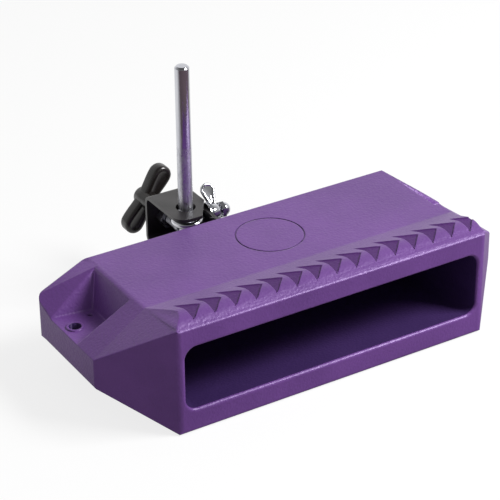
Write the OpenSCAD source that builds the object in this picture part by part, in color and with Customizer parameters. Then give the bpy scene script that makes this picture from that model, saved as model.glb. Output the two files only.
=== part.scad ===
// Moulded woodblock with a scraper lip, a rod clamp on its back and a chrome post
// Millimetres. Origin at the centre of the block's base, front towards -Y, up is +Z.

/* [Block] */
// Width of the block between the two ears
body_w = 220; // [180:1:260]
// Depth of the block from front to back
body_d = 114; // [100:1:140]
// Height of the block's flat top
body_h = 68; // [60:1:80]
// Radius of the long bottom edges and the back top edge
edge_r = 2.5; // [1:0.5:4]

/* [Ears] */
// How far each ear reaches out from the block's side
ear_reach = 36; // [30:1:44]
// Depth over which the front of the side flares out to the ear's end
flare_d = 39.5; // [30:0.5:48]
// Height of the lower edge of the ear's end
ear_low = 24.5; // [20:0.5:28]
// Height of the upper edge of the ear's end
ear_high = 44; // [38:0.5:50]
// How much higher the left ear's back corner stands than the rest of its upper edge
ear_rise = 7.5; // [0:0.5:12]
// How much lower the right ear's upper edge lies at the back than at the front
ear_drop = 3.5; // [0.5:0.5:5]
// Radius of the ear's back corner, seen from above
ear_corner_r = 5; // [2:0.5:10]
// Diameter of the fixing hole in each ear
ear_hole_d = 8; // [5:0.5:10]
// Diameter of the small locating hole beside it
ear_pilot_d = 3.5; // [2:0.5:4.5]
// Width of the raised rim round the fixing hole
ear_rim_w = 1.4; // [1:0.2:2.4]
// Height of that rim
ear_rim_h = 0.8; // [0.4:0.2:1.6]

/* [Sound slot] */
// Width of the slot in the front
slot_w = 212; // [170:1:214]
// Height of the slot
slot_h = 43; // [34:1:46]
// Height of the slot's lower edge above the base
slot_low = 15.5; // [12:0.5:18]
// Radius of the slot's corners
slot_r = 8; // [4:0.5:12]
// Thickness of the wall behind the sound chamber
back_wall = 14; // [12:1:20]

/* [Scraper lip] */
// Height of the lip's crest above the flat top
lip_rise = 8.3; // [6:0.1:9]
// Distance of the crest behind the front face
lip_crest_y = 13.5; // [12:0.5:18]
// Distance behind the front face at which the lip meets the flat top
lip_back_y = 40; // [34:1:50]
// Radius of the crest
lip_crest_r = 14; // [6:0.5:15]
// Radius of the edge between the lip and the front face
lip_front_r = 3; // [2:0.5:5]
// Height of that edge above the flat top
lip_front_rise = 4.6; // [3:0.2:5.2]
// Run of the lip's left end, from the block's side to the crest
lip_end_run = 7.4; // [5:0.2:9]
// Number of notches
notch_n = 15; // [9:1:19]
// Distance of the first notch's left corner from the block's left side
notch_left = 12; // [10.6:0.2:16]
// Distance of the last notch's left corner from the block's right side
notch_right = 9.2; // [8:0.2:16]
// Width of a notch from its left to its right corner
notch_w = 11; // [8:0.2:12.4]
// Depth of a notch's left corner below the crest
notch_depth = 4; // [3.2:0.1:5]
// Distance of the notch's left corner behind the front face
notch_back_y = 26.3; // [23:0.1:30]
// How much further forward the notch's right corner lies than its left one
notch_skew = 11.3; // [8:0.1:13]
// Distance of the notch's front point behind the front face
notch_front_y = 4; // [2.5:0.5:6]
// How far the notch's front point lies to the right of its left corner
notch_lean = 1; // [0:0.2:3]

/* [Top ring] */
// Diameter of the plain ring groove, at its middle
ring_d = 43.5; // [30:0.5:50]
// Width of the groove
ring_w = 0.9; // [0.6:0.1:1.6]
// Depth of the groove
ring_depth = 0.6; // [0.3:0.1:1]

/* [Rod] */
// Diameter of the rod
rod_d = 9.525; // [9:0.025:10]
// Length of the rod
rod_l = 142; // [120:1:180]
// Height of the rod's lower end above the base
rod_low = 26.5; // [20:0.5:32]
// Place of the rod's axis to the left of the block's middle
rod_x = -27.5; // [-36:0.5:-20]
// Distance of the rod's axis behind the block's back wall
rod_gap = 21; // [20:0.5:24]
// Bevel on the rod's ends
rod_bevel = 1.2; // [0.6:0.1:2]

/* [Clamp bracket] */
// Thickness of the bracket's steel
steel_t = 2.2; // [2:0.1:2.6]
// Height of the top plate's upper face
plate_high = 69.5; // [68:0.5:74]
// Height of the bottom plate's lower face
plate_low = 35; // [32:0.5:37]
// Distance of the bracket's left edge from the rod's axis
bracket_left = 14; // [12:0.5:18]
// Distance of the cheek's inner face from the rod's axis
cheek_gap = 12.8; // [12.8:0.1:15]
// Distance of the plates' front edge before the rod's axis
plate_front = 16; // [13:0.5:17]
// Distance of the back plate's outer face behind the rod's axis
plate_back = 29; // [26:0.5:34]
// Radius of the plates' free front corner, seen from above
nose_r = 8; // [3:0.5:10]
// Width of the top plate's cut-off corner before the wing nut
corner_w = 12; // [4:0.5:13]
// Depth of that corner, from front to back
corner_d = 18; // [8:0.5:20]
// How far the cut goes down the cheek
corner_drop = 5; // [3:0.5:5]
// Diameter of the holes in the plates that the rod passes through
rod_hole_d = 13; // [12:0.2:16]
// Outer radius of the bends
bend_r = 5; // [3:0.5:6]
// Width of the flange that is screwed to the block
flange_w = 44; // [36:1:60]
// Height of the flange's lower edge
flange_low = 12; // [8:1:20]
// Height of the flange's upper edge
flange_high = 48; // [44:1:50]

/* [Bracket screws] */
// Diameter of a bracket screw's shank
screw_d = 5; // [4:0.5:6]
// Diameter of its head
screw_head_d = 9.4; // [8:0.2:11]
// Height of its head
screw_head_h = 3.4; // [2.6:0.2:4]
// Length of its shank
screw_l = 12; // [10:0.5:14]
// Distance between the screws, sideways
screw_pitch_x = 24; // [20:1:36]
// Distance between the screws, upwards
screw_pitch_z = 17; // [14:0.5:20]
// Outer diameter of a brass insert
insert_d = 7.2; // [6.6:0.2:9]
// Length of a brass insert
insert_l = 10; // [8:0.5:11]
// Thickness of a bracket washer
screw_washer_t = 1; // [0.8:0.1:1.4]
// Diameter of a bracket washer
screw_washer_d = 11; // [10:0.5:12]

/* [Eye bolt] */
// Diameter of the eye bolt's bar
eye_bar_d = 5; // [4.6:0.1:5]
// Inner diameter of the eye
eye_d = 12.4; // [12:0.1:12.6]
// Height of the eye bolt's axis
eye_z = 60; // [59.6:0.1:62]
// How far the shank reaches into the cap nut
eye_grip = 4.5; // [3:0.5:5.5]
// Thickness of the flat washer
washer_t = 1.2; // [1:0.1:1.6]
// Diameter of the flat washer
washer_d = 15; // [13:0.5:17]
// Thickness of the spring washer
spring_washer_t = 1.3; // [1:0.1:1.6]
// Diameter of the spring washer
spring_washer_d = 11; // [10:0.2:12]

/* [Wing nut] */
// Diameter of the wing nut's hub at its seat
wing_hub_d = 12.6; // [11:0.2:14]
// Length of the hub
wing_hub_l = 6; // [5.5:0.5:8]
// Distance from tip to tip of the wings
wing_span = 39; // [30:1:39]
// Thickness of a wing
wing_t = 2.8; // [2:0.2:4]
// Radius of a wing's round end
wing_r = 5; // [4:0.2:5.2]
// How far the wings lean beyond the hub's outer face
wing_lean = 2.5; // [2:0.5:5]
// Angle of the wings, from upright towards the back
wing_angle = 36; // [0:1:180]
// Gap between the tightened wing nut and the cap nut
wing_play = 1.4; // [1.4:0.1:2]
// Width across the corners of the cap nut
cap_d = 11.6; // [10:0.2:13]
// Height of the cap nut's hexagon
cap_hex_h = 2.6; // [2.4:0.2:4]

/* [Clamp knob] */
// Height of the knob screw's axis
knob_z = 52; // [49:0.5:52]
// Diameter of the knob's screw
knob_screw_d = 7.8; // [7:0.1:8]
// Distance of the knob's middle behind the bracket's back plate
knob_gap = 25; // [22:1:32]
// Distance from tip to tip of the knob's lobes
knob_span = 51; // [44:1:64]
// Thickness of a lobe along the screw
knob_t = 10; // [8:0.5:13]
// Radius of a lobe's round end
knob_end_r = 7; // [5:0.5:9]
// Diameter of the knob's hub at the lobes
knob_hub_d = 13; // [12.5:0.5:16]
// Diameter of the hub's end towards the bracket
knob_neck_d = 11.6; // [11:0.2:12.4]
// Length of the knob's hub
knob_hub_l = 27; // [18:0.5:28]
// How far the hub stands out behind the lobes
knob_boss_h = 1; // [0.5:0.5:4]
// Angle of the knob's lobes, from upright
knob_angle = 36; // [0:1:90]
// Width across the corners of the nut in the back plate
screw_nut_d = 15; // [14:0.5:17]
// Height of that nut
screw_nut_h = 6.5; // [5:0.5:7]
// Diameter of the pressure tip
tip_d = 9; // [8:0.2:11]
// Thickness of the pressure tip
tip_t = 4; // [3:0.2:5]

/* [Hidden] */

$fn = 64;
cut = 1;              // overrun of a cut
both_cut = 2 * cut;   // length added to a cut that runs out at both ends
run_fit = 0.06;       // radial gap of a screw in its nut
seat_gap = 0.1;       // gap between faces that press together but can move apart
hole_play = 0.5;      // radial gap of a bolt in a plain hole
arc_n = 8;            // steps of an arc in an outline

half_w = body_w / 2;
half_d = body_d / 2;
full_w = body_w + 2 * ear_reach;
half_full = full_w / 2;
front_y = -half_d;
back_y = half_d;
crest_z = body_h + lip_rise;
drop_slope = (body_h - ear_high + ear_drop) / ear_reach;
drop_tilt = ear_drop / (body_d - flare_d);
notch_pitch = (body_w - notch_left - notch_right) / (notch_n - 1);
ring_y = (lip_back_y + body_d) / 2;

rod_r = rod_d / 2;
rod_y = back_y + rod_gap;
bracket_x0 = rod_x - bracket_left;
cheek_x = rod_x + cheek_gap;
plate_y0 = rod_y - plate_front;
plate_y1 = rod_y + plate_back;

flange_x0 = cheek_x;
flange_x1 = cheek_x + flange_w;
screw_x = (flange_x0 + steel_t + flange_x1) / 2;
screw_z = (flange_low + flange_high) / 2;
screw_places = [for (sx = [-1, 1], sz = [-1, 1])
    [screw_x + sx * screw_pitch_x / 2, screw_z + sz * screw_pitch_z / 2]];

eye_r = eye_d / 2;
eye_bar_r = eye_bar_d / 2;
eye_x = rod_x - rod_r - seat_gap + eye_r;
eye_ring_r = eye_r + eye_bar_r;
cheek_out = cheek_x + steel_t;
dome_share = 0.95;   // width of the cap nut's dome, as a share of its flats
washer_x = cheek_out + seat_gap;
spring_x = washer_x + washer_t + seat_gap;
nut_x = spring_x + spring_washer_t + seat_gap;
cap_x = nut_x + wing_hub_l + wing_play;
shank_end = cap_x + eye_grip;
cap_r = cap_d / 2;
cap_dome_r = cap_r * cos(30) * dome_share;

knob_screw_r = knob_screw_d / 2;
tip_y = rod_y + rod_r + seat_gap;
screw_y0 = tip_y + tip_t + seat_gap;
knob_mid_y = plate_y1 + knob_gap;
knob_end_y = knob_mid_y + knob_t / 2 + knob_boss_h;
knob_y0 = knob_end_y - knob_hub_l;
neck_r = knob_screw_r / 2;
screw_seat_y = back_y + seat_gap + steel_t;

// How far the facets at the lip's left end are drawn out beyond the body: front, side and crest
end_shares = [1.25, 1.5, 2];
// Depths of the notch's left, right and front corners, as shares of its depth
notch_shares = [1, 0.1, 0.65];
// Shares of the block's depth at which the ear's shoulder starts, at the block and at the ear's end
shoulder_shares = [0.885, 0.84];
// Shares of the block's depth at which the pocket floor's sides lie, at the block and at the ear's end
pocket_front_shares = [0.566, 0.535];
pocket_back_shares = [0.803, 0.829];
// Shares of the ear's reach at which the floor starts and the cut runs out
pocket_reach_shares = [0.236, 1.06];
// Sideways run per unit of height of the walls at the sides, and of the wall towards the block
draft_shares = [0.44, 0.29];
// Places of the ear's holes, as shares of the ear's reach and of the block's depth
hole_shares = [0.77, 0.69];
pilot_shares = [0.37, 0.76];
drive_share = 0.6;       // socket's radius as a share of the screw's diameter
corner_share = 1.5;      // how far the cut of the bracket's corner is drawn out beyond it
head_rim_share = 0.6;    // upright part of the screw head's height
head_top_share = 0.76;   // width of the head's top
hub_end_share = 0.8;     // width of the wing nut's hub at its outer end
neck_share = 0.6;        // part of the tip's thickness that the screw's neck enters
waist_share = 0.75;      // half width of the knob's waist as a share of its lobes' radius
dish_share = 0.12;       // part of a knob lobe's thickness taken by its shallow dish

// Points of an arc about centre c from angle a0 to a1
function arc(c, r, a0, a1) =
    [for (i = [0:arc_n]) let (a = a0 + (a1 - a0) * i / arc_n) c + r * [cos(a), sin(a)]];

// Extrudes an outline drawn in Y and Z along X, from x0 over length l
module along_x(x0, l) {
    translate([x0, 0, 0]) rotate([90, 0, 90]) linear_extrude(l) children();
}

// Extrudes an outline drawn in X and Z along Y, from y0 over length l
module along_y(y0, l) {
    translate([0, y0 + l, 0]) rotate([90, 0, 0]) linear_extrude(l) children();
}

// A round bar along X
module bar_x(x0, l, r) {
    translate([x0, 0, 0]) rotate([0, 90, 0]) cylinder(h = l, r = r);
}

// A round bar along Y
module bar_y(y0, l, r) {
    translate([0, y0, 0]) rotate([-90, 0, 0]) cylinder(h = l, r = r);
}

// Side outline of the block with its lip: Y from the front face, Z up
module side_outline() {
    crest = [lip_crest_y, crest_z - lip_crest_r];
    front = [lip_front_r, body_h + lip_front_rise - lip_front_r];
    foot = [lip_back_y, body_h];
    to_foot = foot - crest;
    foot_angle = atan2(to_foot[1], to_foot[0]) + acos(lip_crest_r / norm(to_foot));
    to_front = front - crest;
    front_angle = atan2(to_front[1], to_front[0])
        - acos((lip_crest_r - lip_front_r) / norm(to_front));
    shoulder_angle = front_angle < 0 ? front_angle + 360 : front_angle;
    polygon(concat(
        arc([edge_r, edge_r], edge_r, 180, 270),
        arc([body_d - edge_r, edge_r], edge_r, 270, 360),
        arc([body_d - edge_r, body_h - edge_r], edge_r, 0, 90),
        [foot],
        arc(crest, lip_crest_r, foot_angle, shoulder_angle),
        arc(front, lip_front_r, shoulder_angle, 180)));
}

// Outline of the block from above: X, and Y from the front face
module plan_outline() {
    corner = [half_full - ear_corner_r, body_d - ear_corner_r];
    right = concat([[half_w, 0], [half_full, flare_d]], arc(corner, ear_corner_r, 0, 90));
    left = [for (i = [len(right) - 1:-1:0]) [-right[i][0], right[i][1]]];
    polygon(concat(right, left));
}

// Outline of the block from the front: X and Z, without the ears' ramps
module front_outline() {
    high = crest_z + cut;
    polygon([[half_w, 0], [half_full, ear_low], [half_full, high],
             [-half_full, high], [-half_full, ear_low], [-half_w, 0]]);
}

// What is cut off above the left ear. Beside the lip its underside rises steeply to the lip's
// crest, and less so to the front end of the lip's front edge.
module left_ramp() {
    foot = [-half_w, lip_back_y, body_h];
    front = [-half_w, 0, body_h + lip_front_rise];
    side = [-half_full, lip_back_y, ear_high];
    crest = [lip_end_run - half_w, lip_crest_y, crest_z];
    far = [foot + (front - foot) * end_shares[0], foot + (side - foot) * end_shares[1],
           foot + (crest - foot) * end_shares[2]];
    y1 = body_d + cut;
    low = [far[0], far[2], [far[2][0], y1, far[2][2]], [foot[0], y1, foot[2]],
           [far[1][0], y1, far[1][2]], far[1]];
    high = [for (p = low) [p[0], p[1], far[2][2] + cut]];
    polyhedron(concat(low, high, [foot]),
        [[12, 5, 0], [12, 0, 1], [12, 1, 2, 3], [12, 3, 4, 5], [11, 10, 9, 8, 7, 6],
         [0, 6, 7, 1], [1, 7, 8, 2], [2, 8, 9, 3], [3, 9, 10, 4], [4, 10, 11, 5], [5, 11, 6, 0]]);
}

// Height of the right ear's ramp, which also falls towards the back
function drop_z(x, y) = body_h - drop_slope * (x - half_w) + drop_tilt * (body_d - y);

// What is cut off above the right ear. It leaves a steep right end on the lip.
module right_ramp() {
    x1 = half_full + cut;
    y1 = body_d + cut;
    low = [for (p = [[half_w, -cut], [x1, -cut], [x1, y1], [half_w, y1]])
        [p[0], p[1], drop_z(p[0], p[1])]];
    high = [for (p = low) [p[0], p[1], crest_z + both_cut]];
    polyhedron(concat(low, high),
        [[0, 1, 2, 3], [7, 6, 5, 4], [0, 4, 5, 1], [1, 5, 6, 2], [2, 6, 7, 3], [3, 7, 4, 0]]);
}

// Raised back shoulder of an ear, twisting up towards its outer corner
module ear_shoulder() {
    y0 = body_d * shoulder_shares[0];
    y1 = body_d * shoulder_shares[1];
    low = ear_high - ear_rise;
    inner = [[half_w, y0, body_h], [half_w, body_d, body_h], [half_w, body_d, low], [half_w, y0, low]];
    outer = [[half_full, y1, ear_high], [half_full, body_d, ear_high + ear_rise],
             [half_full, body_d, low], [half_full, y1, low]];
    polyhedron(concat(inner, outer),
        [[3, 2, 1, 0], [5, 6, 7, 4], [5, 4, 0], [1, 5, 0], [2, 6, 5, 1], [3, 7, 6, 2], [0, 4, 7, 3]]);
}

// Drafted pocket in an ear's ramp. Its floor is level with the lowest part of the ear's upper edge.
function pocket_y(shares, u) =
    let (t = (u - pocket_reach_shares[0]) / (1 - pocket_reach_shares[0]))
    body_d * (shares[0] + (shares[1] - shares[0]) * t);
// Corners of the pocket at height h above its floor
function pocket_loop(floor, h) = let (u0 = pocket_reach_shares[0] - draft_shares[1] * h / ear_reach,
    u1 = pocket_reach_shares[1], run = draft_shares[0] * h)
    [[half_w + ear_reach * u0, pocket_y(pocket_front_shares, u0) - run, floor + h],
     [half_w + ear_reach * u1, pocket_y(pocket_front_shares, u1) - run, floor + h],
     [half_w + ear_reach * u1, pocket_y(pocket_back_shares, u1) + run, floor + h],
     [half_w + ear_reach * u0, pocket_y(pocket_back_shares, u0) + run, floor + h]];
module ear_pocket(floor) {
    polyhedron(concat(pocket_loop(floor, 0), pocket_loop(floor, body_h - floor + cut)),
        [[0, 1, 2, 3], [7, 6, 5, 4], [0, 4, 5, 1], [1, 5, 6, 2], [2, 6, 7, 3], [3, 7, 4, 0]]);
}

// Puts a hole in an ear
module at_hole(shares) {
    translate([half_w + ear_reach * shares[0], body_d * shares[1], 0]) children();
}

// One notch of the scraper: a flat facet that leans to the left, cut into the round lip. Its left
// corner is at x, and its left side is an upright step.
module notch(x) {
    high = crest_z + cut;
    plan = [[x, notch_back_y], [x + notch_w, notch_back_y - notch_skew], [x + notch_lean, notch_front_y]];
    polyhedron(concat([for (p = plan) [p[0], p[1], high]],
                      [for (i = [0:2]) [plan[i][0], plan[i][1], crest_z - notch_depth * notch_shares[i]]]),
        [[0, 1, 2], [3, 4, 1, 0], [4, 5, 2, 1], [5, 3, 0, 2], [5, 4, 3]]);
}

// The sound chamber behind the slot
module chamber() {
    along_y(-cut, body_d - back_wall + cut) translate([-slot_w / 2, slot_low]) {
        translate([slot_r, 0]) square([slot_w - 2 * slot_r, slot_h]);
        translate([0, slot_r]) square([slot_w, slot_h - 2 * slot_r]);
        for (x = [slot_r, slot_w - slot_r], z = [slot_r, slot_h - slot_r])
            translate([x, z]) circle(slot_r);
    }
}

module ring_groove() {
    translate([0, ring_y, body_h - ring_depth]) difference() {
        cylinder(h = ring_depth + cut, r = (ring_d + ring_w) / 2);
        translate([0, 0, -cut]) cylinder(h = ring_depth + cut + both_cut, r = (ring_d - ring_w) / 2);
    }
}

module block_body() {
    color("#71528f") difference() {
        translate([0, front_y, 0]) difference() {
            intersection() {
                along_x(-half_full, full_w) side_outline();
                linear_extrude(crest_z + cut) plan_outline();
                union() {
                    difference() {
                        along_y(0, body_d) front_outline();
                        left_ramp();
                        right_ramp();
                    }
                    mirror([1, 0, 0]) ear_shoulder();
                }
            }
            for (m = [0, 1]) mirror([m, 0, 0]) {
                floor = ear_high - ear_drop * (1 - m);
                difference() {
                    ear_pocket(floor);
                    at_hole(hole_shares) cylinder(h = floor + ear_rim_h, r = ear_hole_d / 2 + ear_rim_w);
                }
                at_hole(hole_shares) cylinder(h = body_h, r = ear_hole_d / 2);
                at_hole(pilot_shares) translate([0, 0, ear_low]) cylinder(h = body_h, r = ear_pilot_d / 2);
            }
            for (i = [0:notch_n - 1])
                notch(notch_left - half_w + i * notch_pitch);
            chamber();
            ring_groove();
        }
        for (p = screw_places) translate([p[0], 0, p[1]]) {
            bar_y(back_y - insert_l, insert_l + cut, insert_d / 2);
            bar_y(back_y - insert_l - cut, insert_l, screw_d / 2 + hole_play);
        }
    }
}

module threaded_inserts() {
    color("#b58a3c") for (p = screw_places) translate([p[0], 0, p[1]]) difference() {
        bar_y(back_y - insert_l, insert_l, insert_d / 2);
        bar_y(back_y - insert_l - cut, insert_l + both_cut, screw_d / 2 + run_fit);
    }
}

// Outline of the bracket's channel: Y and Z, with round outer and inner bends at the back
module channel_outline() {
    in_r = bend_r - steel_t;
    high = [plate_y1 - bend_r, plate_high - bend_r];
    low = [plate_y1 - bend_r, plate_low + bend_r];
    polygon(concat(
        [[plate_y0, plate_low]], arc(low, bend_r, 270, 360), arc(high, bend_r, 0, 90),
        [[plate_y0, plate_high], [plate_y0, plate_high - steel_t]],
        arc(high, in_r, 90, 0), arc(low, in_r, 360, 270), [[plate_y0, plate_low + steel_t]]));
}

// Outline of the cheek and flange from above: X and Y
module cheek_outline() {
    in_r = bend_r - steel_t;
    wall = back_y + seat_gap;
    bend = [cheek_x + bend_r, wall + bend_r];
    polygon(concat(
        [[cheek_x, plate_y1]], arc(bend, bend_r, 180, 270),
        [[flange_x1, wall], [flange_x1, wall + steel_t]],
        arc(bend, in_r, 270, 180), [[cheek_out, plate_y1]]));
}

// Outline of the plates from above, with the free front corner rounded off
module plates_outline() {
    nose = [bracket_x0 + nose_r, plate_y0 + nose_r];
    polygon(concat(arc(nose, nose_r, 180, 270),
        [[cheek_out, plate_y0], [cheek_out, plate_y1], [bracket_x0, plate_y1]]));
}

module clamp_bracket() {
    color("#26262a") difference() {
        union() {
            intersection() {
                along_x(bracket_x0, cheek_out - bracket_x0) channel_outline();
                linear_extrude(plate_high + cut) plates_outline();
            }
            intersection() {
                translate([0, 0, flange_low]) linear_extrude(plate_high - flange_low) cheek_outline();
                union() {
                    translate([cheek_x, back_y, plate_low])
                        cube([steel_t, plate_y1 - back_y, plate_high - plate_low]);
                    translate([cheek_x, back_y, flange_low])
                        cube([flange_w, bend_r + seat_gap, flange_high - flange_low]);
                }
            }
        }
        translate([cheek_out, plate_y0, plate_high - corner_drop]) linear_extrude(corner_drop + cut)
            polygon([[-corner_w * corner_share, -corner_d * (corner_share - 1)],
                     [corner_w * (corner_share - 1), -corner_d * (corner_share - 1)],
                     [corner_w * (corner_share - 1), corner_d * corner_share]]);
        translate([rod_x, rod_y, 0]) cylinder(h = plate_high + cut, r = rod_hole_d / 2);
        translate([0, rod_y, eye_z]) bar_x(cheek_x - cut, steel_t + both_cut, eye_bar_r + hole_play);
        translate([rod_x, 0, knob_z])
            bar_y(plate_y1 - steel_t - cut, steel_t + both_cut, knob_screw_r + hole_play);
        for (p = screw_places) translate([p[0], 0, p[1]])
            bar_y(back_y, bend_r + cut, screw_d / 2 + hole_play);
    }
}

module bracket_washers() {
    color("#8f9094") for (p = screw_places) translate([p[0], 0, p[1]]) difference() {
        bar_y(screw_seat_y, screw_washer_t, screw_washer_d / 2);
        bar_y(screw_seat_y - cut, screw_washer_t + both_cut, screw_d / 2 + hole_play);
    }
}

module bracket_screws() {
    seat = screw_seat_y + screw_washer_t;
    rim_h = screw_head_h * head_rim_share;
    color("#9a9ba0") for (p = screw_places) translate([p[0], 0, p[1]]) difference() {
        union() {
            bar_y(seat - screw_l, screw_l, screw_d / 2);
            bar_y(seat, rim_h, screw_head_d / 2);
            translate([0, seat + rim_h, 0]) rotate([-90, 0, 0])
                cylinder(h = screw_head_h - rim_h, r1 = screw_head_d / 2,
                         r2 = screw_head_d / 2 * head_top_share);
        }
        translate([0, seat + screw_head_h / 2, 0]) rotate([-90, 0, 0])
            cylinder(h = screw_head_h, r = screw_d * drive_share, $fn = 6);
    }
}

module screw_nut() {
    y0 = plate_y1 - steel_t - screw_nut_h;
    color("#77787c") translate([rod_x, 0, knob_z]) difference() {
        translate([0, y0, 0]) rotate([-90, 0, 0]) cylinder(h = screw_nut_h, r = screw_nut_d / 2, $fn = 6);
        bar_y(y0 - cut, screw_nut_h + both_cut, knob_screw_r + run_fit);
    }
}

module mounting_rod() {
    color("#d9dadd") translate([rod_x, rod_y, rod_low]) {
        cylinder(h = rod_bevel, r1 = rod_r - rod_bevel, r2 = rod_r);
        translate([0, 0, rod_bevel]) cylinder(h = rod_l - 2 * rod_bevel, r = rod_r);
        translate([0, 0, rod_l - rod_bevel]) cylinder(h = rod_bevel, r1 = rod_r, r2 = rod_r - rod_bevel);
    }
}

module eye_bolt() {
    color("#d3d4d8") translate([0, rod_y, eye_z]) {
        translate([eye_x, 0, 0]) rotate_extrude() translate([eye_ring_r, 0]) circle(eye_bar_r);
        bar_x(eye_x + eye_ring_r, shank_end - eye_x - eye_ring_r, eye_bar_r);
    }
}

module flat_washer() {
    color("#d3d4d8") translate([0, rod_y, eye_z]) difference() {
        bar_x(washer_x, washer_t, washer_d / 2);
        bar_x(washer_x - cut, washer_t + both_cut, eye_bar_r + hole_play);
    }
}

// The spring washer is split: its gap is a slit as wide as the washer is thick
module spring_washer() {
    color("#c4c5c9") translate([0, rod_y, eye_z]) difference() {
        bar_x(spring_x, spring_washer_t, spring_washer_d / 2);
        bar_x(spring_x - cut, spring_washer_t + both_cut, eye_bar_r + hole_play);
        translate([spring_x - cut, -spring_washer_t / 2, 0])
            cube([spring_washer_t + both_cut, spring_washer_t, spring_washer_d]);
    }
}

// One wing, standing up from the hub: X along the axis, Z outwards
module wing() {
    tip_z = wing_span / 2 - wing_r;
    tip_x = wing_hub_l + wing_lean - wing_r;
    hub_r = wing_hub_d / 2;
    along_y(-wing_t / 2, wing_t) {
        translate([tip_x, tip_z]) circle(wing_r);
        polygon([[wing_t / 2, hub_r / 2], [tip_x - wing_r, tip_z], [tip_x + wing_r, tip_z],
                 [wing_hub_l - wing_t / 4, hub_r / 2]]);
    }
}

module wing_nut() {
    color("#dcdde0") translate([nut_x, rod_y, eye_z]) rotate([-wing_angle, 0, 0]) difference() {
        union() {
            rotate([0, 90, 0])
                cylinder(h = wing_hub_l, r1 = wing_hub_d / 2, r2 = wing_hub_d / 2 * hub_end_share);
            for (m = [0, 1]) mirror([0, 0, m]) wing();
        }
        bar_x(-cut, wing_hub_l + both_cut, eye_bar_r + run_fit);
    }
}

module cap_nut() {
    color("#dcdde0") translate([cap_x, rod_y, eye_z]) difference() {
        union() {
            rotate([0, 90, 0]) cylinder(h = cap_hex_h, r = cap_r, $fn = 6);
            intersection() {
                translate([cap_hex_h, 0, 0]) sphere(cap_dome_r);
                translate([cap_hex_h - seat_gap, -cap_r, -cap_r]) cube([cap_d, cap_d, cap_d]);
            }
        }
        bar_x(-cut, eye_grip + seat_gap + cut, eye_bar_r + run_fit);
    }
}

module pressure_tip() {
    color("#8a8b90") translate([rod_x, 0, knob_z]) difference() {
        bar_y(tip_y, tip_t, tip_d / 2);
        bar_y(tip_y + tip_t * (1 - neck_share), tip_t, neck_r + run_fit);
    }
}

module knob_screw() {
    color("#9a9ba0") translate([rod_x, 0, knob_z]) {
        bar_y(screw_y0, knob_mid_y - screw_y0, knob_screw_r);
        bar_y(tip_y + tip_t * (1 - neck_share) + seat_gap, tip_t, neck_r);
    }
}

// Outline of the knob's two lobes, upright: X sideways, Z up
module knob_outline() {
    end_z = knob_span / 2 - knob_end_r;
    waist = knob_end_r * waist_share;
    for (s = [-1, 1]) {
        translate([0, s * end_z]) circle(knob_end_r);
        polygon([[-knob_end_r, s * end_z], [knob_end_r, s * end_z], [waist, 0], [-waist, 0]]);
    }
}

module clamp_knob() {
    color("#1d1d20") translate([rod_x, 0, knob_z]) rotate([0, knob_angle, 0]) difference() {
        union() {
            along_y(knob_mid_y - knob_t / 2, knob_t) knob_outline();
            translate([0, knob_y0, 0]) rotate([-90, 0, 0])
                cylinder(h = knob_hub_l, r1 = knob_neck_d / 2, r2 = knob_hub_d / 2);
        }
        bar_y(knob_y0 - cut, knob_mid_y - knob_y0 + cut, knob_screw_r + run_fit);
        translate([0, knob_mid_y + knob_t / 2 * (1 - dish_share), 0]) difference() {
            bar_y(0, knob_t, knob_span / 2);
            bar_y(-cut, knob_t + both_cut, knob_hub_d / 2);
            along_y(-cut, knob_t + both_cut) difference() {
                square(2 * knob_span, center = true);
                circle(knob_span / 2 - knob_end_r / 2);
            }
        }
    }
}

block_body();
threaded_inserts();
clamp_bracket();
bracket_screws();
bracket_washers();
screw_nut();
mounting_rod();
eye_bolt();
flat_washer();
spring_washer();
wing_nut();
cap_nut();
pressure_tip();
knob_screw();
clamp_knob();
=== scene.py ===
import math
from contextlib import contextmanager

import bmesh
import bpy
from mathutils import Matrix, Vector


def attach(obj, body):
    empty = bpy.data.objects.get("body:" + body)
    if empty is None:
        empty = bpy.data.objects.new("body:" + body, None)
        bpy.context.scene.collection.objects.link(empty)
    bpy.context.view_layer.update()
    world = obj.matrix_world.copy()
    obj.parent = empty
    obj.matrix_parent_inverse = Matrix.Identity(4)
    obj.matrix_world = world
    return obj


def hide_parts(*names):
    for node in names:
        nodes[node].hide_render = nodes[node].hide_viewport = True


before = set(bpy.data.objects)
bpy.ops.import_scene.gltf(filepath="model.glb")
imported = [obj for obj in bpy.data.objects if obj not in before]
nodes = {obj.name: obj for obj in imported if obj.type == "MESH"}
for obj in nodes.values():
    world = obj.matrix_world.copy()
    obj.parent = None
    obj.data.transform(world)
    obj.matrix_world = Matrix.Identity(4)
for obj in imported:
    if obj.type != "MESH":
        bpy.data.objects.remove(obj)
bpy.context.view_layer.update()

scene = bpy.context.scene
rad = math.radians
WHITE = (1, 1, 1, 1)


# Camera: azimuth, elevation, roll, distance in metres, the point it looks at, and its lens
AZ, EL, ROLL, DIST = rad(-31.3), rad(29.2), rad(-0.6), 1.2188
AIM = Vector((-0.025, 0.003, 0.0723))
FOCAL_PIXELS, PICTURE_PIXELS, SENSOR_MM = 1981.6, 500, 36
CLIP = (0.05, 50)


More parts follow.
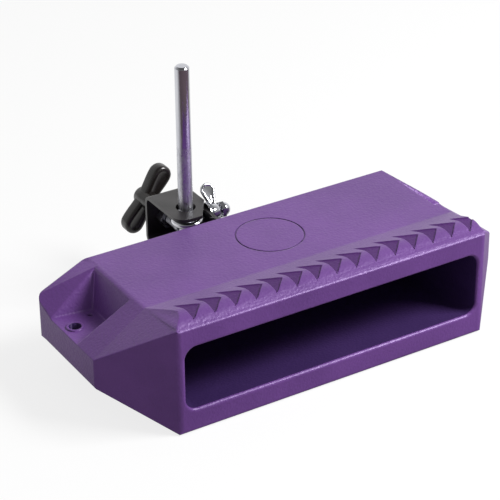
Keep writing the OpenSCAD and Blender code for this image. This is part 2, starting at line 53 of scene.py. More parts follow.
def add_camera():
    back = Vector((math.sin(AZ) * math.cos(EL), -math.cos(AZ) * math.cos(EL), math.sin(EL)))
    right = Vector((math.cos(AZ), math.sin(AZ), 0))
    up = back.cross(right)
    turned_right = right * math.cos(ROLL) + up * math.sin(ROLL)
    turned_up = up * math.cos(ROLL) - right * math.sin(ROLL)
    data = bpy.data.cameras.new("camera")
    data.sensor_width = SENSOR_MM
    data.lens = SENSOR_MM * FOCAL_PIXELS / PICTURE_PIXELS
    data.clip_start, data.clip_end = CLIP
    camera = bpy.data.objects.new("camera", data)
    scene.collection.objects.link(camera)
    turn = Matrix((turned_right, turned_up, back)).transposed().to_4x4()
    camera.matrix_world = Matrix.Translation(AIM + back * DIST) @ turn
    scene.camera = camera
    scene.view_settings.view_transform = "Standard"


add_camera()


# Shader helpers
def srgb(code):
    """A linear colour from a hexadecimal code."""
    out = []
    for i in (0, 2, 4):
        c = int(code[i:i + 2], 16) / 255
        out.append(c / 12.92 if c <= 0.04045 else ((c + 0.055) / 1.055) ** 2.4)
    return tuple(out) + (1.0,)


def feed(tree, socket, value):
    """Links another node's output to a socket, or sets the socket's own value."""
    if isinstance(value, bpy.types.NodeSocket):
        tree.links.new(value, socket)
    else:
        socket.default_value = value


def add(tree, kind, inputs=None, **settings):
    """Adds a node with its settings and inputs."""
    node = tree.nodes.new(kind)
    for name, value in settings.items():
        setattr(node, name, value)
    for key, value in (inputs or {}).items():
        feed(tree, node.inputs[key], value)
    return node


def object_coords(tree):
    return add(tree, "ShaderNodeTexCoord").outputs["Object"]


def noise(tree, coords, scale, detail, rough=0.6):
    return add(tree, "ShaderNodeTexNoise", {
        "Vector": coords, "Scale": scale, "Detail": detail, "Roughness": rough}).outputs["Fac"]


def stretched_noise(tree, coords, scale, detail, rough=0.6):
    stretched = add(tree, "ShaderNodeMapping", {"Vector": coords, "Scale": scale}).outputs["Vector"]
    return noise(tree, stretched, 1.0, detail, rough)


def remap(tree, value, lo, hi, a, b):
    return add(tree, "ShaderNodeMapRange", {
        "Value": value, "From Min": lo, "From Max": hi, "To Min": a, "To Max": b}).outputs["Result"]


def maths(tree, operation, a, b):
    return add(tree, "ShaderNodeMath", {0: a, 1: b}, operation=operation).outputs[0]


def bump(tree, height, distance, strength, normal=None):
    inputs = {"Height": height, "Distance": distance, "Strength": strength}
    if normal is not None:
        inputs["Normal"] = normal
    return add(tree, "ShaderNodeBump", inputs).outputs["Normal"]


def mix_colour(tree, share, a, b):
    return add(tree, "ShaderNodeMix", {0: share, 6: a, 7: b}, data_type="RGBA").outputs[2]


def mix_shader(tree, share, a, b):
    return add(tree, "ShaderNodeMixShader", {0: share, 1: a, 2: b}).outputs[0]


def new_material(name):
    mat = bpy.data.materials.new(name)
    mat.use_nodes = True
    return mat, mat.node_tree, mat.node_tree.nodes["Principled BSDF"]


# Materials
GRAIN_SCALE, PEBBLE_SCALE, CLOUD_SCALE, SMEAR_SCALE = 700, 620, 14, 45
SCRATCH_SCALE = (900, 900, 260)
GRAIN_HEIGHT, PAINT_GRAIN_HEIGHT, SCRATCH_HEIGHT = 0.0003, 0.00006, 0.00012
GRAIN_STRENGTH, PEBBLE_STRENGTH, FINE_STRENGTH = 0.4, 0.45, 0.5
GRAIN_SPREAD = 0.06              # how far the grain varies the plastic's roughness
EDGE_SOFTNESS = 0.0011           # radius by which shading alone softens the plastic's sharp edges
GLOSS_TINT = srgb("dcc8f0")      # the plastic's highlights are pale lilac
SCRATCHED_Z = (0.1125, 0.1145)   # where the rod's scratched part ends
MATT = 0.95


def purple_plastic(name, dark, light, rough, shine=1.0, sheen=0.14):
    """Moulded plastic, slightly clouded, with a fine pebbled grain."""
    mat, tree, shader = new_material(name)
    coords = object_coords(tree)
    grain = noise(tree, coords, GRAIN_SCALE, 2.0)
    pebble = add(tree, "ShaderNodeTexVoronoi", {"Vector": coords, "Scale": PEBBLE_SCALE},
                 feature="SMOOTH_F1")
    cloud = remap(tree, noise(tree, coords, CLOUD_SCALE, 4.0), 0.35, 0.65, 0.0, 1.0)
    soft = add(tree, "ShaderNodeBevel", {"Radius": EDGE_SOFTNESS}, samples=6)
    normal = bump(tree, pebble.outputs["Distance"], GRAIN_HEIGHT, PEBBLE_STRENGTH,
                  soft.outputs["Normal"])
    for key, value in {
            "Base Color": mix_colour(tree, cloud, srgb(dark), srgb(light)),
            "Roughness": remap(tree, grain, 0.3, 0.7, rough - GRAIN_SPREAD, rough + GRAIN_SPREAD),
            "Normal": bump(tree, grain, GRAIN_HEIGHT, GRAIN_STRENGTH, normal),
            "Specular IOR Level": shine, "Specular Tint": GLOSS_TINT,
            "Sheen Weight": sheen, "Sheen Roughness": 0.3}.items():
        feed(tree, shader.inputs[key], value)
    return mat


def metal(name, colour, worn, rough, spread, scale):
    """Metal whose colour and polish vary in spots; scale tells how fine they are on each axis."""
    mat, tree, shader = new_material(name)
    spots = stretched_noise(tree, object_coords(tree), scale, 3.0)
    share = remap(tree, spots, 0.35, 0.7, 0.0, 1.0)
    feed(tree, shader.inputs["Base Color"], mix_colour(tree, share, srgb(colour), srgb(worn)))
    polish = remap(tree, spots, 0.3, 0.7, rough - spread, rough + spread)
    feed(tree, shader.inputs["Roughness"], polish)
    feed(tree, shader.inputs["Metallic"], 1.0)
    return mat


def black_paint(name, colour, rough, spread, grain_scale):
    mat, tree, shader = new_material(name)
    coords = object_coords(tree)
    grain = noise(tree, coords, grain_scale, 2.0)
    smear = noise(tree, coords, SMEAR_SCALE, 4.0)
    polish = remap(tree, smear, 0.3, 0.7, rough - spread, rough + spread)
    feed(tree, shader.inputs["Roughness"], polish)
    feed(tree, shader.inputs["Base Color"], srgb(colour))
    feed(tree, shader.inputs["Normal"], bump(tree, grain, PAINT_GRAIN_HEIGHT, FINE_STRENGTH))
    feed(tree, shader.inputs["Specular IOR Level"], 0.7)
    return mat


def scratch_low_part(mat):
    """Makes the rod dull and scratched up to where the clamp has run."""
    tree = mat.node_tree
    shader = tree.nodes["Principled BSDF"]
    coords = object_coords(tree)
    height = add(tree, "ShaderNodeSeparateXYZ", {0: coords}).outputs["Z"]
    marks = stretched_noise(tree, coords, SCRATCH_SCALE, 4.0, 0.7)
    ragged = maths(tree, "ADD", height, remap(tree, marks, 0.3, 0.7, -0.002, 0.002))
    share = remap(tree, ragged, *SCRATCHED_Z, 1.0, 0.0)
    polish = shader.inputs["Roughness"].links[0].from_socket
    dull = remap(tree, marks, 0.35, 0.65, 0.22, 0.55)
    rough = add(tree, "ShaderNodeMix", {0: share, 2: polish, 3: dull})
    feed(tree, shader.inputs["Roughness"], rough.outputs[0])
    feed(tree, shader.inputs["Normal"], bump(tree, marks, SCRATCH_HEIGHT, FINE_STRENGTH))


BODY = purple_plastic("purple_plastic", "613a80", "6d428d", 0.42)
# Darker copies of the plastic, used as painted shade: inside the slot, chamber and holes, in the ring
# groove, and on the notches' facets that face away from the key
PAINTED_SHADE_INSIDE = purple_plastic("purple_inside_painted_shade", "33214f", "3b2758", 0.5, 0.4, 0.0)
PAINTED_SHADE_FACETS = purple_plastic("purple_facets_painted_shade", "522d6c", "5b3476", 0.5, 0.35, 0.0)
PAINTED_SHADE_GROOVE = purple_plastic("purple_groove_painted_shade", "3a2352", "432a5c", 0.6, 0.4, 0.0)
CHROME = metal("chrome", "dcdde2", "c4c5cc", 0.09, 0.04, (90, 90, 90))
ROD = metal("rod_chrome", "d6d7dc", "bdbec6", 0.1, 0.04, (110, 110, 18))
scratch_low_part(ROD)
STEEL = metal("zinc_steel", "a9aab0", "8e8f95", 0.3, 0.08, (200, 200, 200))
BRASS = metal("brass", "b58a3c", "9a7430", 0.32, 0.08, (150, 150, 150))
PAINTED = black_paint("black_steel", "1f1b1e", 0.36, 0.08, 700)
BLACK_PLASTIC = black_paint("black_plastic", "191413", 0.26, 0.06, 900)


# Objects and the pieces of the frame that they stand for
WELD = 1e-6
FLAT, SHARP = rad(1), rad(28)
# Widths of the rounding of edges: hardware, the block's remaining edges, and thicker pieces
FINE, SLIGHT, THICK = 0.0002, 0.0003, 0.0004


def new_object(name, mesh, material):
    obj = bpy.data.objects.new(name, mesh)
    scene.collection.objects.link(obj)
    mesh.materials.clear()
    mesh.materials.append(material)
    return obj


def place(obj, body, slot, *replaced):
    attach(obj, body)
    if replaced:
        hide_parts(*replaced)


@contextmanager
def edited(mesh):
    """Gives the mesh for editing, and writes it back."""
    bm = bmesh.new()
    bm.from_mesh(mesh)
    yield bm
    bm.to_mesh(mesh)
    bm.free()


def shade_smooth(mesh):
    for poly in mesh.polygons:
        poly.use_smooth = True


def clean_copy(node, name, material, width, segments=3):
    """A copy of a CAD node with its flat faces joined and its sharp edges rounded."""
    mesh = nodes[node].data.copy()
    mesh.name = name
    with edited(mesh) as bm:
        bmesh.ops.remove_doubles(bm, verts=bm.verts, dist=WELD)
        bmesh.ops.dissolve_limit(bm, angle_limit=FLAT, verts=bm.verts, edges=bm.edges)
    obj = new_object(name, mesh, material)
    bevel = obj.modifiers.new("bevel", "BEVEL")
    bevel.width = width
    bevel.segments = segments
    bevel.limit_method = "ANGLE"
    bevel.angle_limit = SHARP
    bevel.miter_outer = "MITER_ARC"
    shade_smooth(mesh)
    normals = obj.modifiers.new("normals", "WEIGHTED_NORMAL")
    normals.keep_sharp = True
    normals.weight = 60
    return obj


# The block's measures in metres, and the angles that tell its edges apart. In this list a pair
# after Y or Z is a span.
EDGE_ANGLE, LONG_ANGLE = rad(14), rad(13)
FRONT_Y, CREASE_Y, TOP_Z, HALF_W = -0.057, -0.017, 0.068, 0.110
NEAR = 2e-4             # how near a point has to lie to a line of the block
LIP_PLAY = 0.0005
# The slot's rim, and the walls of slot and chamber, whose faces get painted shade
SLOT_X, SLOT_Z, CHAMBER_Y = 0.1065, (0.015, 0.059), (-0.0555, 0.0435)
# A long edge that starts in this space belongs to the chamber
HOLLOW_X, HOLLOW_Y, HOLLOW_Z = 0.107, (-0.0569, 0.0435), (0.003, 0.062)
# The pockets' rims at the ears' ends, and the thin wedges there, at Y and Z
EAR_END_X, POCKET_Z, POCKET_PLAY = 0.1455, 0.044, 0.0006
WEDGES, WEDGE_Y_PLAY = ((0.0375, POCKET_Z), (0.0436, 0.0667)), 0.0016
# A long edge's least length, and how far the ends of its parts may lie off and past its line
LONG_LENGTH, LINE_OFF, LINE_PAST = 0.009, 3e-4, 0.003
# How far a rounding may reach off and past its line, in widths, before it counts as a spike
SPIKE_OFF, SPIKE_PAST = 2.2, 1.6
# The notches' rims and facets. A facet's normal points to the left, away from the key, and the facets
# get painted shade.
NOTCH_X, NOTCH_Y, NOTCH_Z = 0.106, (-0.0548, -0.029), 0.0705
FACET_X, FACET_Y, FACET_LEAN = (-0.1025, 0.1065), (-0.0552, -0.029), -0.2
# The ring groove and the ears' large holes, whose faces get painted shade, with the play in which a
# face counts as theirs
RING_Y, RING_R, RING_PLAY, RING_Z = 0.020, 0.02175, 0.0012, (0.0672, 0.06799)
HOLE_AT, HOLE_R, HOLE_Z, WALL_TILT = (0.13772, 0.02166), 0.0042, 0.0453, 0.3
LARGE_AREA = 3.5e-4     # faces larger than this are shaded flat
LONG_ROUNDING = (0.0012, 3)   # width and segments


def lies_in(value, span):
    return span[0] < value < span[1]


def joins_two(edge):
    return len(edge.link_faces) == 2


def bevel_edges(bm, edges, width, segments):
    return bmesh.ops.bevel(bm, geom=edges, offset=width, offset_type="OFFSET", segments=segments,
                           profile=0.5, affect="EDGES", clamp_overlap=False)["verts"]


def staged_bevel(mesh, stages):
    """Rounds picked edges in turn; each stage is a test of a corner, a width and segments."""
    with edited(mesh) as bm:
        for test, width, segments in stages:
            bm.normal_update()
            edges = [e for e in bm.edges if joins_two(e) and e.calc_face_angle(0) > EDGE_ANGLE
                     and all(test(v.co) for v in e.verts)]
            if edges:
                bevel_edges(bm, edges, width, segments)


def at_mouth(p):
    """On the rim of the slot."""
    return abs(p.y - FRONT_Y) < 10 * WELD and abs(p.x) < SLOT_X and lies_in(p.z, SLOT_Z)


def at_front_corner(p):
    """On the two upright edges beside the slot's face."""
    return abs(abs(p.x) - HALF_W) < NEAR and abs(p.y - FRONT_Y) < NEAR


def at_crease(p):
    """On the line where the flat top meets the lip."""
    return abs(p.y - CREASE_Y) < NEAR and abs(p.z - TOP_Z) < NEAR


def at_notch(p):
    """On the rims of the lip's notches."""
    return lies_in(p.y, NOTCH_Y) and p.z > NOTCH_Z and abs(p.x) < NOTCH_X


# Which corners are rounded, how wide and in how many segments, in this order
ROUNDINGS = ((at_mouth, 0.0017, 5), (at_front_corner, 0.002, 4), (at_crease, 0.0008, 2),
             (at_notch, 0.0004, 2))


def is_long(edge):
    """Long outer edges of the ears, ramps, top and bottom."""
    a, b = (v.co for v in edge.verts)
    inside = abs(a.x) < HOLLOW_X and lies_in(a.y, HOLLOW_Y) and lies_in(a.z, HOLLOW_Z)
    rim = all(abs(p.x) > EAR_END_X and abs(p.z - POCKET_Z) < POCKET_PLAY for p in (a, b))
    lip = all(p.y < CREASE_Y + LIP_PLAY and p.z > TOP_Z - LIP_PLAY
              and abs(p.x) < HALF_W + LIP_PLAY for p in (a, b))
    return (edge.calc_length() > LONG_LENGTH and edge.calc_face_angle(0) > EDGE_ANGLE
            and not (inside or rim or lip))


def off_line(p, a, b):
    """How far p lies from the line through a and b, and how far past its ends."""
    d = b - a
    t = (p - a).dot(d) / d.length_squared
    return (p - a - d * t).length, max(-t, t - 1, 0) * d.length


def edge_on_line(bm, a, b):
    """The first sharp edge along the line from a to b, with at least half its length."""
    for edge in bm.edges:
        if joins_two(edge) and edge.calc_length() >= 0.5 * (a - b).length:
            ends = [off_line(v.co, a, b) for v in edge.verts]
            if (all(off < LINE_OFF and past < LINE_PAST for off, past in ends)
                    and edge.calc_face_angle(0) > LONG_ANGLE):
                return edge
    return None


def round_long(mesh, width, segments):
    """Rounds the long edges one by one, and leaves out each that would throw up a spike."""
    bm = bmesh.new()
    bm.from_mesh(mesh)
    bm.normal_update()
    lines = [tuple(v.co.copy() for v in e.verts) for e in bm.edges if joins_two(e) and is_long(e)]
    for a, b in sorted(lines, key=lambda ends: -(ends[0] - ends[1]).length):
        trial = bm.copy()
        trial.normal_update()
        edge = edge_on_line(trial, a, b)
        new = bevel_edges(trial, [edge], width, segments) if edge else []
        reach = [off_line(v.co, a, b) for v in new]
        if edge and all(off < SPIKE_OFF * width and past < SPIKE_PAST * width
                        for off, past in reach):
            bm.free()
            bm = trial
        else:
            trial.free()
    bm.to_mesh(mesh)
    bm.free()


def merge_slivers(mesh):
    """Joins the corners of the thin wedges at the rims of the ears' pockets."""
    with edited(mesh) as bm:
        for side in (-1, 1):
            for y, z in WEDGES:
                wedge = [v for v in bm.verts if v.co.x * side > HALF_W
                         and abs(v.co.y - y) < WEDGE_Y_PLAY and abs(v.co.z - z) < POCKET_PLAY]
                if len(wedge) > 1:
                    wedge.sort(key=lambda v: v.co.y)
                    bmesh.ops.pointmerge(bm, verts=wedge, merge_co=wedge[0].co)
        bmesh.ops.dissolve_degenerate(bm, edges=bm.edges, dist=10 * WELD)


# The lip's front flank in the CAD: the crest's arc, a straight part and the front edge's arc
CREST_Y, CREST_R, CREST_CENTRE_Z = -0.0435, 0.014, 0.0623
FLANK_Y, FLANK_Z, FLANK_SLOPE = -0.0493, 0.07504, math.tan(rad(24.6))
EDGE_Y, EDGE_CENTRE_Y, EDGE_R, EDGE_CENTRE_Z = -0.05525, -0.054, 0.003, 0.0696
# The same flank as one sweep that falls ever steeper to a tight front edge
SWEEP_R, SWEEP_CENTRE_Z = 0.0198, 0.0565
TIGHT_Y, TIGHT_CENTRE_Y, TIGHT_R, TIGHT_CENTRE_Z = -0.056587, -0.0557, 0.0013, 0.070415
# The faces in front of and above LIP_FACES are cut into strips from STRIP_Y on
LIP_FACES = (-0.0445, 0.0698)
STRIP_Y, STRIP_STEP, STRIPS = -0.05, 0.0007, 8


def arc_height(y, centre_y, centre_z, r):
    return centre_z + math.sqrt(max(r ** 2 - (y - centre_y) ** 2, 0))


def flank_cad(y):
    if y > FLANK_Y:
        return arc_height(y, CREST_Y, CREST_CENTRE_Z, CREST_R)
    if y > EDGE_Y:
        return FLANK_Z + (y - FLANK_Y) * FLANK_SLOPE
    return arc_height(y, EDGE_CENTRE_Y, EDGE_CENTRE_Z, EDGE_R)


def flank_round(y):
    if y > TIGHT_Y:
        return arc_height(y, CREST_Y, SWEEP_CENTRE_Z, SWEEP_R)
    return arc_height(y, TIGHT_CENTRE_Y, TIGHT_CENTRE_Z, TIGHT_R)


def round_lip(mesh):
    """Bends the lip's front flank from the CAD's form to one sweep."""
    with edited(mesh) as bm:
        for k in range(STRIPS):
            centres = [(f, f.calc_center_median()) for f in bm.faces]
            top = [f for f, c in centres if c.y < LIP_FACES[0] and c.z > LIP_FACES[1]]
            geom = list({v for f in top for v in f.verts} | {e for f in top for e in f.edges}) + top
            bmesh.ops.bisect_plane(bm, geom=geom, plane_co=(0, STRIP_Y - STRIP_STEP * k, 0),
                                   plane_no=(0, 1, 0), dist=WELD)
        for v in bm.verts:
            if v.co.y < CREST_Y - 0.0001 and v.co.z > EDGE_CENTRE_Z - 0.00001:
                v.co.z += flank_round(v.co.y) - flank_cad(v.co.y)


def block_colour_or_painted_shade(poly):
    """Index of a face's material: body, painted shade inside slot and holes, painted shade in the
    groove, or painted shade on a notch's facet.
    """
    c, n = poly.center, poly.normal
    if abs(c.x) < SLOT_X and lies_in(c.z, SLOT_Z) and lies_in(c.y, CHAMBER_Y):
        return 1
    if lies_in(c.z, RING_Z) and abs(math.hypot(c.x, c.y - RING_Y) - RING_R) < RING_PLAY:
        return 2
    if c.z > NOTCH_Z and lies_in(c.y, FACET_Y) and lies_in(c.x, FACET_X) and n.x < FACET_LEAN:
        return 3
    hole = math.hypot(abs(c.x) - HOLE_AT[0], c.y - HOLE_AT[1])
    return 1 if c.z < HOLE_Z and abs(n.z) < WALL_TILT and hole < HOLE_R else 0


def make_block():
    block = clean_copy("block_body", "block_shell", BODY, SLIGHT, 2)
    merge_slivers(block.data)
    round_lip(block.data)
    staged_bevel(block.data, ROUNDINGS)
    round_long(block.data, *LONG_ROUNDING)
    for material in (PAINTED_SHADE_INSIDE, PAINTED_SHADE_GROOVE, PAINTED_SHADE_FACETS):
        block.data.materials.append(material)
    for poly in block.data.polygons:
        poly.use_smooth = poly.area < LARGE_AREA
        poly.material_index = block_colour_or_painted_shade(poly)
    place(block, "block", "body", "block_body")


make_block()
place(clean_copy("clamp_bracket", "bracket_steel", PAINTED, THICK), "block", "bracket",
      "clamp_bracket")
place(clean_copy("mounting_rod", "rod_bar", ROD, FINE), "rod", "rod", "mounting_rod")


# Made meshes, in millimetres: each is a pair of vertices and faces
def mesh_object(name, parts, material, matrix):
    mesh = bpy.data.meshes.new(name)
    verts, faces = parts
    mesh.from_pydata([Vector(v) * 0.001 for v in verts], [], faces)
    with edited(mesh) as bm:
        bmesh.ops.remove_doubles(bm, verts=bm.verts, dist=WELD)
        bmesh.ops.recalc_face_normals(bm, faces=bm.faces)
        bm.transform(matrix)
    shade_smooth(mesh)
    return new_object(name, mesh, material)


def joined(*parts):
    verts, faces = [], []
    for more_verts, more_faces in parts:
        faces += [tuple(i + len(verts) for i in face) for face in more_faces]
        verts += list(more_verts)
    return verts, faces


def skin(loops, closed=False):
    """Joins loops of equal length, and closes the last one where asked."""
    n = len(loops[0])
    faces = [(k + i, k + (i + 1) % n, k + n + (i + 1) % n, k + n + i)
             for k in range(0, (len(loops) - 1) * n, n) for i in range(n)]
    if closed:
        faces.append(tuple((len(loops) - 1) * n + i for i in range(n)))
    return [v for loop in loops for v in loop], faces


def around(r, seg):
    """Points (r cos, r sin) of a circle."""
    turns = [2 * math.pi * i / seg for i in range(seg)]
    return [(r * math.cos(a), r * math.sin(a)) for a in turns]


def lathe(profile, seg=64):
    """Turns a profile of (along, radius) pairs about the X axis."""
    return skin([[(a, y, z) for y, z in around(r, seg)] for a, r in profile])


def torus(cx, ring_r, bar_r, seg=96, sides=32):
    loops = []
    for i in range(seg + 1):
        a = 2 * math.pi * i / seg
        loops.append([(cx + (ring_r + u) * math.cos(a), (ring_r + u) * math.sin(a), w)
                      for u, w in around(bar_r, sides)])
    return skin(loops)


def thread(x0, x1, r, pitch, seg=36):
    """A helical thread about the X axis from x0 to x1, closed at its ends."""
    root = r - 0.55 * pitch
    flank = ((0.0, root), (0.34, r - 0.03), (0.5, r), (0.66, r - 0.03), (1.0, root))
    steps = int((x1 - x0) / pitch * seg) + 2 * seg
    verts, faces = [], []
    for i in range(steps + 1):
        a = 2 * math.pi * i / seg
        for share, q in flank:
            x = x0 - pitch + pitch * (i / seg + share)
            verts.append((min(max(x, x0), x1), q * math.cos(a), q * math.sin(a)))
    m = len(flank)
    for i in range(steps):
        faces += [(a, a + 1, a + m + 1, a + m) for a in range(i * m, i * m + m - 1)]
    for x in (x0, x1):
        faces.append(tuple(range(len(verts), len(verts) + seg)))
        verts += [(x, y, z) for y, z in around(root, seg)]
    return verts, faces


def inset_outline(points, inset, closed=False):
    """The outline moved to the left of its course, square to the line through a point's neighbours."""
    out = []
    last = len(points) - 1
    for i, (x, z) in enumerate(points):
        a = points[i - 1 if closed or i else 0]
        b = points[(i + 1) % len(points) if closed else min(i + 1, last)]
        dx, dz = b[0] - a[0], b[1] - a[1]
        length = math.hypot(dx, dz)
        out.append((x - inset * dz / length, z + inset * dx / length))
    return out


# Eye bolt: a ring round the rod and a threaded shank
AXIS = Matrix.Translation((0, 0.078, 0.060))
ROD_X, ROD_R, SEAT_GAP, EYE_R, EYE_RING_R, EYE_BAR_R = -27.5, 4.7625, 0.1, 6.2, 8.7, 2.5
EYE_PITCH, KNOB_PITCH = 1.27, 1.41
EYE_X = ROD_X - ROD_R - SEAT_GAP + EYE_R
PLAIN_END, THREAD_START, SHANK_END = (-13.3, -12.9), -13.1, 2.2
place(mesh_object("eye_ring", joined(
    torus(EYE_X, EYE_RING_R, EYE_BAR_R),
    lathe([(EYE_X + EYE_RING_R, EYE_BAR_R), (PLAIN_END[0], EYE_BAR_R), (PLAIN_END[1], 1.85)]),
    thread(THREAD_START, SHANK_END, EYE_BAR_R, EYE_PITCH)), CHROME, AXIS),
    "eye", "bright_hardware", "eye_bolt")


# Cast wing nut: a turned hub and two dished wings with thick rounded rims
WING_TURN = Matrix.Translation((-0.0097, 0, 0)) @ Matrix.Rotation(rad(-36), 4, "X")
WING_RISE = [(1.2, 2.6), (0.9, 5.0), (0.0, 8.6), (-0.95, 11.8)]
WING_FALL = [(7.95, 11.8), (7.0, 8.6), (6.1, 5.0), (5.6, 2.6)]
WING_TIP_X, WING_TIP_Z, WING_TIP_R, WING_TIP_STEPS = 3.5, 14.5, 5.0, 22
WING_END = [(WING_TIP_X + WING_TIP_R * math.cos(a), WING_TIP_Z + WING_TIP_R * math.sin(a))
            for a in (math.pi * (1 - k / WING_TIP_STEPS) for k in range(WING_TIP_STEPS + 1))]
# How far each ring of a wing's side lies inside the outline, and its half thickness
WING_RINGS = ((0.0, 0.0), (0.0, 0.55), (0.22, 1.0), (0.65, 1.3), (1.1, 1.38), (1.5, 1.28),
              (1.95, 0.92), (2.3, 0.75))
WING_HUB = [(0.0, 2.6), (0.0, 5.9), (0.35, 6.28), (1.1, 6.25), (4.2, 5.55), (5.3, 5.2),
            (5.75, 4.9), (6.0, 4.4), (6.0, 3.1), (5.5, 2.6)]


def wing_thickness(y, z):
    """The half thickness y at height z, swollen towards the hub."""
    near_hub = math.exp(-max(z - 4.5, 0) / 2.0)
    return min(y * (1 + 0.35 * near_hub), 1.4 + 0.5 * near_hub)


def wing_side(sign):
    outline = WING_RISE + WING_END + WING_FALL
    return skin([[(x, sign * wing_thickness(y, z), z) for x, z in inset_outline(outline, -inset)]
                 for inset, y in WING_RINGS], closed=True)


wing = joined(wing_side(1), wing_side(-1))
opposite = ([(x, -y, -z) for x, y, z in wing[0]], wing[1])
cast = joined(lathe(WING_HUB), wing, opposite)
place(mesh_object("wing_nut_cast", cast, CHROME, AXIS @ WING_TURN), "wing", "bright_hardware",
      "wing_nut")

for node, body, width in (("flat_washer", "block", FINE), ("spring_washer", "block", FINE),
                          ("cap_nut", "eye", THICK)):
    place(clean_copy(node, node + "_bright", CHROME, width), body, "bright_hardware", node)


# Knob screw: threaded all along, with its plain neck in the pressure tip
SCREW_TURN = Matrix.Translation((-0.0275, 0, 0.052)) @ Matrix.Rotation(rad(90), 4, "Z")
NECK = [(84.6, 0.0), (84.6, 1.7), (84.85, 1.93), (87.4, 1.93), (87.5, 3.1)]
STUD = (87.0, 131.0, 3.9)
place(mesh_object("knob_stud", joined(lathe(NECK), thread(*STUD, KNOB_PITCH)), STEEL, SCREW_TURN),
      "knob", "fasteners", "knob_screw")
for node, body in (("bracket_screws", "block"), ("bracket_washers", "block"),
                   ("screw_nut", "block"), ("pressure_tip", "tip")):
    place(clean_copy(node, node + "_zinc", STEEL, FINE), body, "fasteners", node)
place(clean_copy("threaded_inserts", "inserts_brass", BRASS, FINE), "block", "inserts",
      "threaded_inserts")


# Wing knob: a bar with two round lobes, well rounded and slightly dished, on a tapered hub
KNOB_TURN = Matrix.Translation((-0.0275, 0.132, 0.052)) @ Matrix.Rotation(rad(36), 4, "Y")
LOBE_Z, LOBE_R, WAIST = 18.5, 7, 5.25
KNOB_ROUND = 2.5
KNOB_DISH = [(3.1, 4.93), (3.7, 4.68), (4.3, 4.4)]
KNOB_HUB = [(111.0, 3.96), (111.0, 5.3), (111.5, 5.8), (120.0, 6.03), (131.0, 6.35), (137.0, 6.48),
            (137.7, 6.2), (138.0, 5.6), (138.0, 0.0)]


def knob_outline():
    """One side from lobe to lobe, the upper lobe's end, and both again turned half round."""
    swell = (LOBE_R - WAIST) / 2
    half = [(WAIST + swell * (1 - math.cos(math.pi * abs(z) / LOBE_Z)), z)
            for z in (LOBE_Z * k / 12 for k in range(-12, 13))]
    half += [(LOBE_R * math.cos(a), LOBE_Z + LOBE_R * math.sin(a))
             for a in (math.pi * k / 20 for k in range(1, 20))]
    return half + [(-x, -z) for x, z in half]


def knob_side(sign):
    edge = [(KNOB_ROUND * (1 - math.cos(rad(15 * k))), KNOB_ROUND * (1 + math.sin(rad(15 * k))))
            for k in range(7)]
    return skin([[(x, sign * y, z) for x, z in inset_outline(knob_outline(), inset, closed=True)]
                 for inset, y in [(0.0, 0.0)] + edge + KNOB_DISH], closed=True)


place(mesh_object("knob_wing", joined(knob_side(1), knob_side(-1)), BLACK_PLASTIC, KNOB_TURN),
      "knob", "knob", "clamp_knob")
place(mesh_object("knob_hub", lathe(KNOB_HUB), BLACK_PLASTIC, SCREW_TURN), "knob", "knob")


# Lamp, room and floor
KEY_ENERGY, KEY_SIZE, KEY_DISTANCE = 29, 0.55, 1.6
KEY = Vector((0.54, -0.43, 0.724)) * KEY_DISTANCE
KEY_AIM = Vector((0, 0, 0.04))
PLAIN_LIGHT = 0.33
FLOOR_SIZE, FLOOR_Z = 6, -0.0002
FLOOR_GREY, FLOOR_WHITE = (0.5, 0.5, 0.5, 1), (0.95, 0.95, 0.95, 1)
FLOOR_MIRRORED = (0.11, 0.075, 0.09, 1)
FLOOR_LIFT = 0.8      # share of plain white that the camera sees in the floor


def add_key():
    data = bpy.data.lights.new("key", "AREA")
    data.energy = KEY_ENERGY
    data.size = KEY_SIZE
    lamp = bpy.data.objects.new("key", data)
    scene.collection.objects.link(lamp)
    lamp.location = KEY
    lamp.rotation_euler = (KEY_AIM - KEY).to_track_quat("-Z", "Y").to_euler()


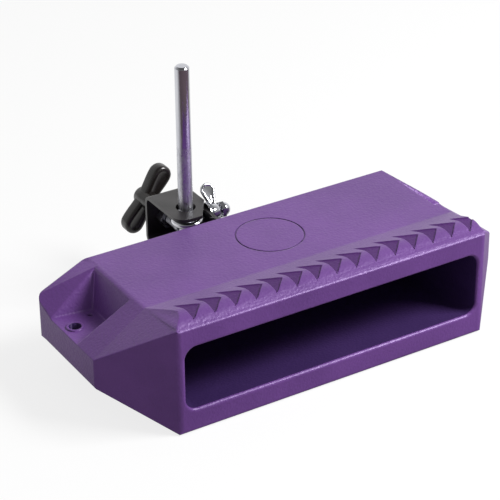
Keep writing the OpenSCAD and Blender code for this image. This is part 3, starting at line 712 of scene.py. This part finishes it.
def add_room():
    """White to the camera, a plain dim light for the rest, and a room that metal mirrors.

    The room is bright low down and dim overhead, in front and to the left."""
    scene.world = bpy.data.worlds.new("world")
    scene.world.use_nodes = True
    tree = scene.world.node_tree
    tree.nodes.clear()
    rays = add(tree, "ShaderNodeLightPath").outputs
    way = add(tree, "ShaderNodeSeparateXYZ",
              {0: add(tree, "ShaderNodeTexCoord").outputs["Generated"]}).outputs
    low = remap(tree, way["Z"], 0.45, 0.9, 1.0, 0.2)
    behind = remap(tree, way["Y"], -0.75, 0.25, 0.3, 1.0)
    right = remap(tree, way["X"], -0.8, 0.0, 0.45, 1.0)
    strength = maths(tree, "MULTIPLY", maths(tree, "MULTIPLY", low, behind), right)
    room, plain, white = (
        add(tree, "ShaderNodeBackground", {"Color": WHITE, "Strength": s}).outputs[0]
        for s in (strength, PLAIN_LIGHT, 1.0))
    mirrored = maths(tree, "MAXIMUM", rays["Is Glossy Ray"], rays["Is Transmission Ray"])
    seen = mix_shader(tree, rays["Is Camera Ray"], mix_shader(tree, mirrored, plain, room), white)
    add(tree, "ShaderNodeOutputWorld", {0: seen})


def floor_material():
    """A matt sheet, lifted to white where the camera sees it, so that its shadow is kept.

    Metal and gloss see it bright behind the object and dim before it."""
    mat, tree, shader = new_material("floor_pale")
    rays = add(tree, "ShaderNodeLightPath").outputs
    place_y = add(tree, "ShaderNodeSeparateXYZ", {0: object_coords(tree)}).outputs["Y"]
    unseen = mix_colour(tree, rays["Is Glossy Ray"], FLOOR_GREY, FLOOR_MIRRORED)
    feed(tree, shader.inputs["Base Color"],
         mix_colour(tree, rays["Is Camera Ray"], unseen, FLOOR_WHITE))
    feed(tree, shader.inputs["Roughness"], MATT)
    feed(tree, shader.inputs["Specular IOR Level"], 0.0)
    glow = add(tree, "ShaderNodeEmission", {"Color": WHITE}).outputs[0]
    behind = remap(tree, place_y, -0.06, 0.2, 0.02, 0.95)
    mirrored = maths(tree, "MULTIPLY", rays["Is Glossy Ray"], behind)
    lifted = maths(tree, "MULTIPLY", rays["Is Camera Ray"], FLOOR_LIFT)
    mixed = mix_shader(tree, maths(tree, "MAXIMUM", mirrored, lifted), shader.outputs[0], glow)
    feed(tree, tree.nodes["Material Output"].inputs["Surface"], mixed)
    return mat


add_key()
add_room()
bpy.ops.mesh.primitive_plane_add(size=FLOOR_SIZE, location=(0, 0, FLOOR_Z))
floor = bpy.context.object
floor.name = "floor"
floor.data.materials.append(floor_material())
